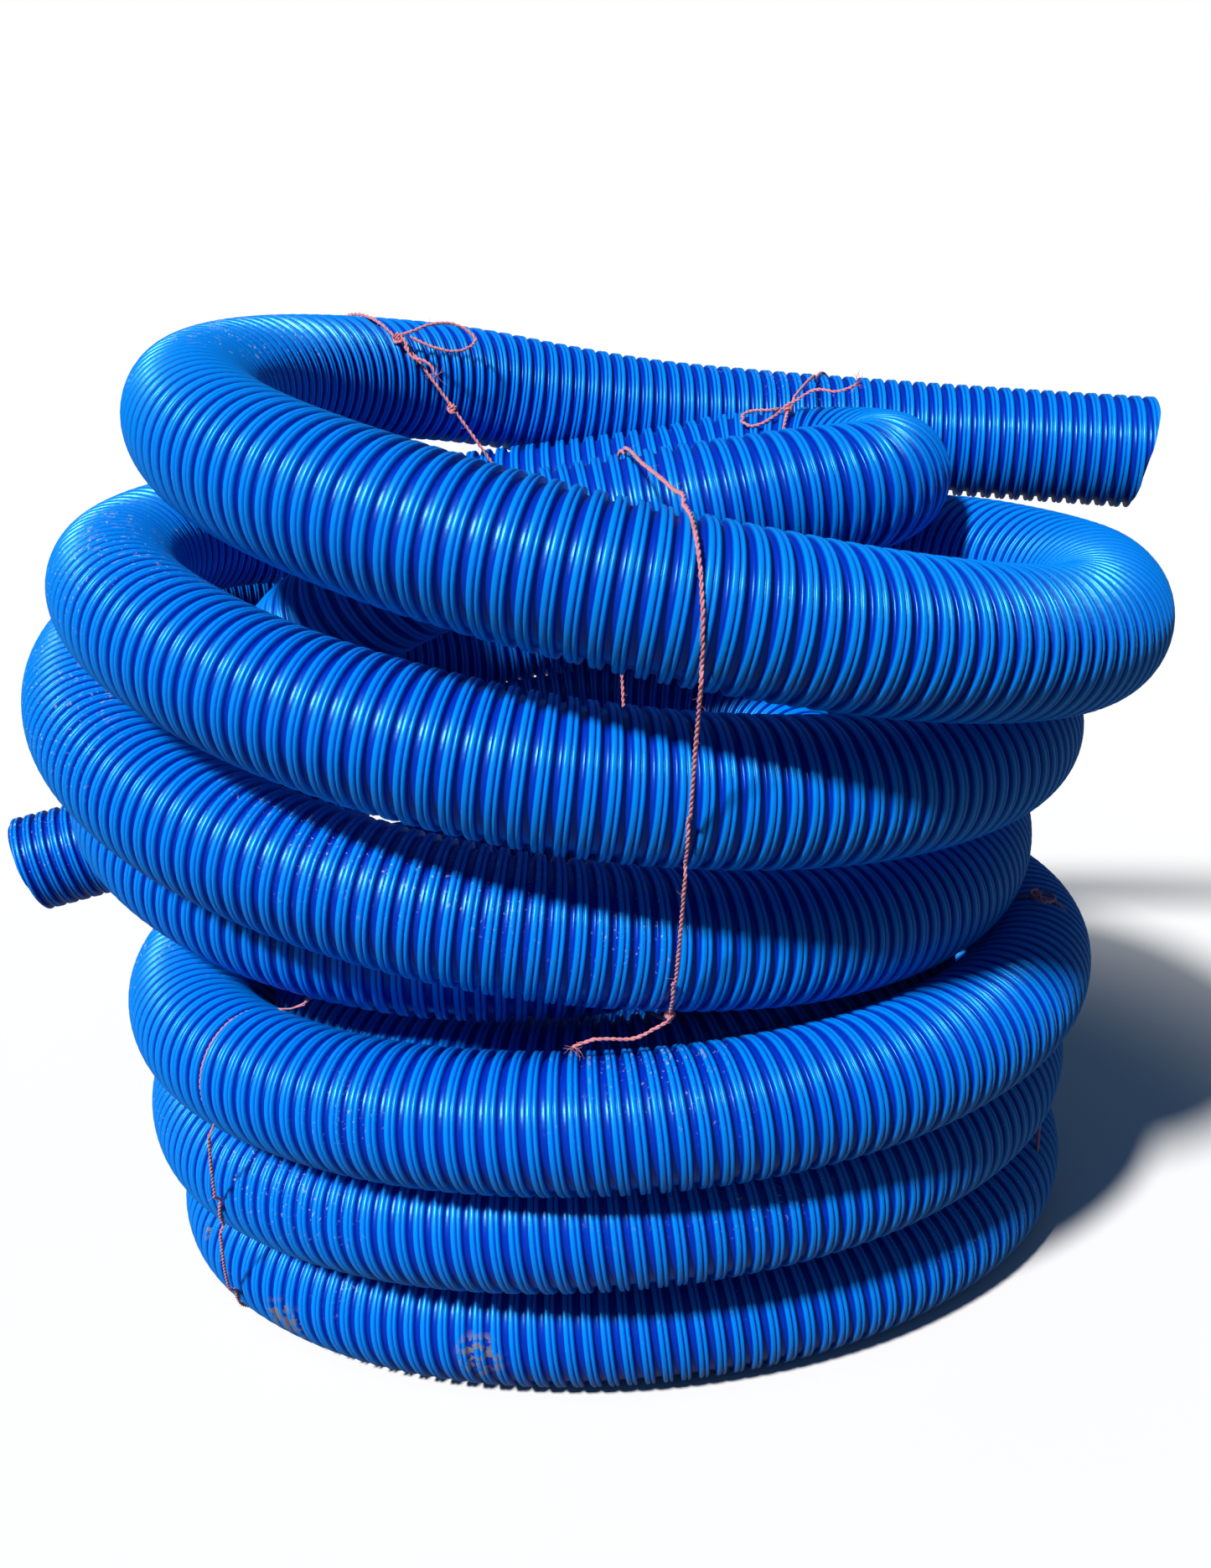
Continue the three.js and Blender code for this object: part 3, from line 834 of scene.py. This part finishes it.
def sunk(points, free_ends, reach, lowest):
    """Moves a strand into a groove of each turn of the lower hose that passes within its reach.

    The first and last free_ends metres stay where they are, so that the strand meets its knot,
    and so does everything below the height lowest.
    """
    along = lengths_along(points)
    index = np.array([np.argmin(np.linalg.norm(lower.line - p, axis=1)) for p in points])
    offsets = points - lower.line[index]
    apart = np.linalg.norm(offsets, axis=1)
    touching = (apart < reach) & (points[:, 2] > lowest)
    next_turn = np.flatnonzero(np.abs(np.diff(lower.along[index])) > TURN_JUMP) + 1
    settled = points.copy()
    for run in np.split(np.arange(len(points)), next_turn):
        held = run[touching[run]]
        if len(held) < 4:
            continue
        clear = np.minimum(along[held], along[-1] - along[held]) - free_ends
        share = np.minimum(clear / 0.01, (reach - apart[held]) / 0.002)
        share = eased(np.clip(share, 0, 1))[:, None]
        settled[held] += (groove_places(offsets[held], index[held]) - points[held]) * share
    return settled


# ---- Twine ------------------------------------------------------------------------------------
def add_plies(parts, points, rng):
    """Two plies twisted round each other along the points."""
    side, up = carried_frame(points, PLY_HINT)
    turn = lengths_along(points) * 2 * math.pi / TWINE_LAY
    for ply in (0, math.pi):
        swell = 1 + 0.12 * np.convolve(rng.normal(size=len(points)), np.ones(5) / 2, "same")
        offset = np.cos(turn + ply)[:, None] * side + np.sin(turn + ply)[:, None] * up
        add_tube(parts, points + offset * PLY_REACH, PLY_RADIUS * swell, PLY_SIDES)


def add_hair(parts, start, direction, length, rng, radius=HAIR_RADIUS):
    """One thin hair that wanders as it leaves the twine."""
    heading = np.array(direction, float)
    points = [np.array(start, float)]
    for _ in range(HAIR_SEGMENTS):
        heading = unit(heading + rng.normal(size=3) * 0.28)
        points.append(points[-1] + heading * length / HAIR_SEGMENTS)
    add_tube(parts, np.array(points), np.linspace(radius, radius * 0.4, len(points)), 3)


def add_fuzz(parts, points, gap, rng):
    """Short hairs along a strand, about one in each gap."""
    length = lengths_along(points)[-1]
    for s in rng.uniform(0, length, int(length / gap)):
        i = int(s / length * (len(points) - 2))
        along = unit(points[i + 1] - points[i])
        out = unit(rng.normal(size=3))
        add_hair(parts, points[i], unit(along * 0.8 + out), rng.uniform(*HAIR_LENGTHS), rng)


def add_fray(parts, end, direction, rng):
    """The plies untwist at a loose end into a spray of hairs."""
    for _ in range(FRAY_HAIRS):
        heading = unit(np.array(direction) + rng.normal(size=3) * 0.42)
        length = rng.uniform(0.45, 1.0) * FRAY_LENGTH
        add_hair(parts, end, heading, length, rng, FRAY_RADIUS)


def add_knot(parts, centre, axis, rng, size=1.0):
    """An overhand knot: a few wraps of twine drawn tight round the strand, and a loop over them."""
    axis = unit(np.array(axis, float))
    side = unit(np.cross(axis, (0.2, 0.3, 0.9)))
    up = np.cross(axis, side)
    along = np.linspace(-1, 1, 70)
    angle = along * math.pi * KNOT_TURNS
    belly = KNOT_RADIUS * size * (1 - KNOT_TAPER * along**2)
    wraps = (
        np.array(centre)
        + axis * (along * KNOT_HALF * size)[:, None]
        + side * (np.cos(angle) * belly)[:, None]
        + up * (np.sin(angle) * belly)[:, None]
    )
    add_plies(parts, wraps, rng)
    bight = np.linspace(0, math.pi, 30)
    over = (
        np.array(centre)
        + axis * (np.cos(bight) * BIGHT_RADIUS * size)[:, None]
        + up * (np.sin(bight) * BIGHT_RADIUS * size)[:, None]
        + side * (BIGHT_SWAY * np.sin(2 * bight))[:, None]
    )
    add_plies(parts, over, rng)


def finish_twine(parts, node, body):
    """Makes the piece that stands for a twine node."""
    piece = parts.build("twine_" + node, fibre)
    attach(piece, body)
    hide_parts(node)


def tie(name, body, knot, rng, second_knot=None, sinking=None):
    """A closed band of twine with its knot, laid on the ribs or sunk between them."""
    points = resting(curve_through(band_path(name, knot), TWINE_STEP))
    if sinking is not None:
        points = sunk(points, *sinking)
    parts = MeshParts()
    add_plies(parts, points, rng)
    add_fuzz(parts, points, TIE_HAIR_GAP, rng)
    add_knot(parts, points[0], points[6] - points[0], rng)
    if second_knot is not None:
        i = int(second_knot / TWINE_STEP)
        add_knot(parts, points[i], points[i + 3] - points[i], rng, 0.85)
    finish_twine(parts, name, body)


def loose_strand(name, knot, rng, swing):
    """A bow, or a tail with a frayed end, that hangs from a knot and is turned by swing degrees."""
    turn = np.array(Matrix.Rotation(math.radians(swing), 3, "Y"))
    path = knot + (loose_path(name, knot) - knot) @ turn.T
    points = curve_through(np.vstack([knot, path]), TWINE_STEP)
    if swing:
        points = resting(points, REST)
    parts = MeshParts()
    add_plies(parts, points, rng)
    add_fuzz(parts, points, LOOSE_HAIR_GAP, rng)
    if name.endswith("tail"):
        add_fray(parts, points[-1], points[-1] - points[-4], rng)
    finish_twine(parts, name, name)


def build_twine():
    """Every tie and its loose strands, with the degrees that each strand is turned by.

    A second knot is placed by its distance along the tie, back from the first one. Sinking is
    the length left free at the knot, the reach, and the lowest height that sinks.
    """
    ties = {
        "front_tie": {"front_tie_tail": 0},
        "rear_left_tie": {"rear_left_tie_bow": 0, "rear_left_tie_tail": 180},
        "rear_right_tie": {"rear_right_tie_bow": -55, "rear_right_tie_tail": 0},
        "lower_left_tie": {"lower_left_tie_tail": 0},
        "lower_right_tie": {"lower_right_tie_bow": 0},
    }
    second_knots = {"rear_left_tie": -0.034}
    sinkings = {
        "lower_left_tie": (0.03, REST_REACH, 0.085),
        "lower_right_tie": (0.006, 0.040, 0.0),
    }
    for seed, (name, strands) in enumerate(ties.items()):
        rng = np.random.default_rng(FIRST_SEED + seed)
        held = next(joint for joint in frame["joints"] if joint["child"] in strands)
        knot = np.array(held["pos_m"])
        body = "lower_bundle" if name.startswith("lower") else "upper_bundle"
        tie(name, body, knot, rng, second_knots.get(name), sinkings.get(name))
        for strand, swing in strands.items():
            loose_strand(strand, knot, rng, swing)


build_twine()


# ---- Floor, light and camera ------------------------------------------------------------------
def build_floor():
    """A wide floor just under the lowest piece."""
    low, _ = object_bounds()
    bpy.ops.mesh.primitive_plane_add(size=FLOOR_SIDE, location=(0, 0, low.z))
    floor = bpy.context.object
    floor.name = "studio_floor"
    floor.data.materials.append(floor_material())


def build_sun():
    """One wide, distant key light from the upper left."""
    key = bpy.data.lights.new("key", "SUN")
    key.energy = SUN_POWER
    key.angle = math.radians(SUN_SPREAD)
    key.color = SUN_COLOUR
    left = math.radians(SUN_LEFT)
    height = math.radians(SUN_HEIGHT)
    level = math.cos(height)
    towards = Vector((-math.sin(left) * level, -math.cos(left) * level, math.sin(height)))
    holder = bpy.data.objects.new("key", key)
    holder.rotation_euler = towards.to_track_quat("Z", "Y").to_euler()
    bpy.context.scene.collection.objects.link(holder)


def build_room():
    """A room that is white to the camera and gives a dim blue light."""
    world = bpy.data.worlds.new("studio")
    bpy.context.scene.world = world
    world.use_nodes = True
    tree = world.node_tree
    tree.nodes.clear()
    seen = tree.nodes.new("ShaderNodeBackground")
    seen.inputs[0].default_value = WHITE
    lit = tree.nodes.new("ShaderNodeBackground")
    lit.inputs[0].default_value = ROOM_COLOUR
    lit.inputs[1].default_value = ROOM_POWER
    rays = tree.nodes.new("ShaderNodeLightPath")
    mix = tree.nodes.new("ShaderNodeMixShader")
    output = tree.nodes.new("ShaderNodeOutputWorld")
    tree.links.new(rays.outputs["Is Camera Ray"], mix.inputs[0])
    tree.links.new(lit.outputs[0], mix.inputs[1])
    tree.links.new(seen.outputs[0], mix.inputs[2])
    tree.links.new(mix.outputs[0], output.inputs[0])


def build_camera():
    """A camera in front of the pile, looking down on it and rolled a little."""
    camera = bpy.data.cameras.new("camera")
    camera.sensor_width = SENSOR
    camera.lens = LENS
    camera.clip_start = 0.01
    holder = bpy.data.objects.new("camera", camera)
    pitch = Matrix.Rotation(math.radians(90 - CAMERA_DOWN), 4, "X")
    roll = Matrix.Rotation(math.radians(-CAMERA_ROLL), 4, "Z")
    holder.matrix_world = Matrix.Translation(CAMERA_PLACE) @ pitch @ roll
    bpy.context.scene.collection.objects.link(holder)
    bpy.context.scene.camera = holder


build_floor()
build_sun()
build_room()
build_camera()
bpy.context.scene.view_settings.view_transform = "Standard"
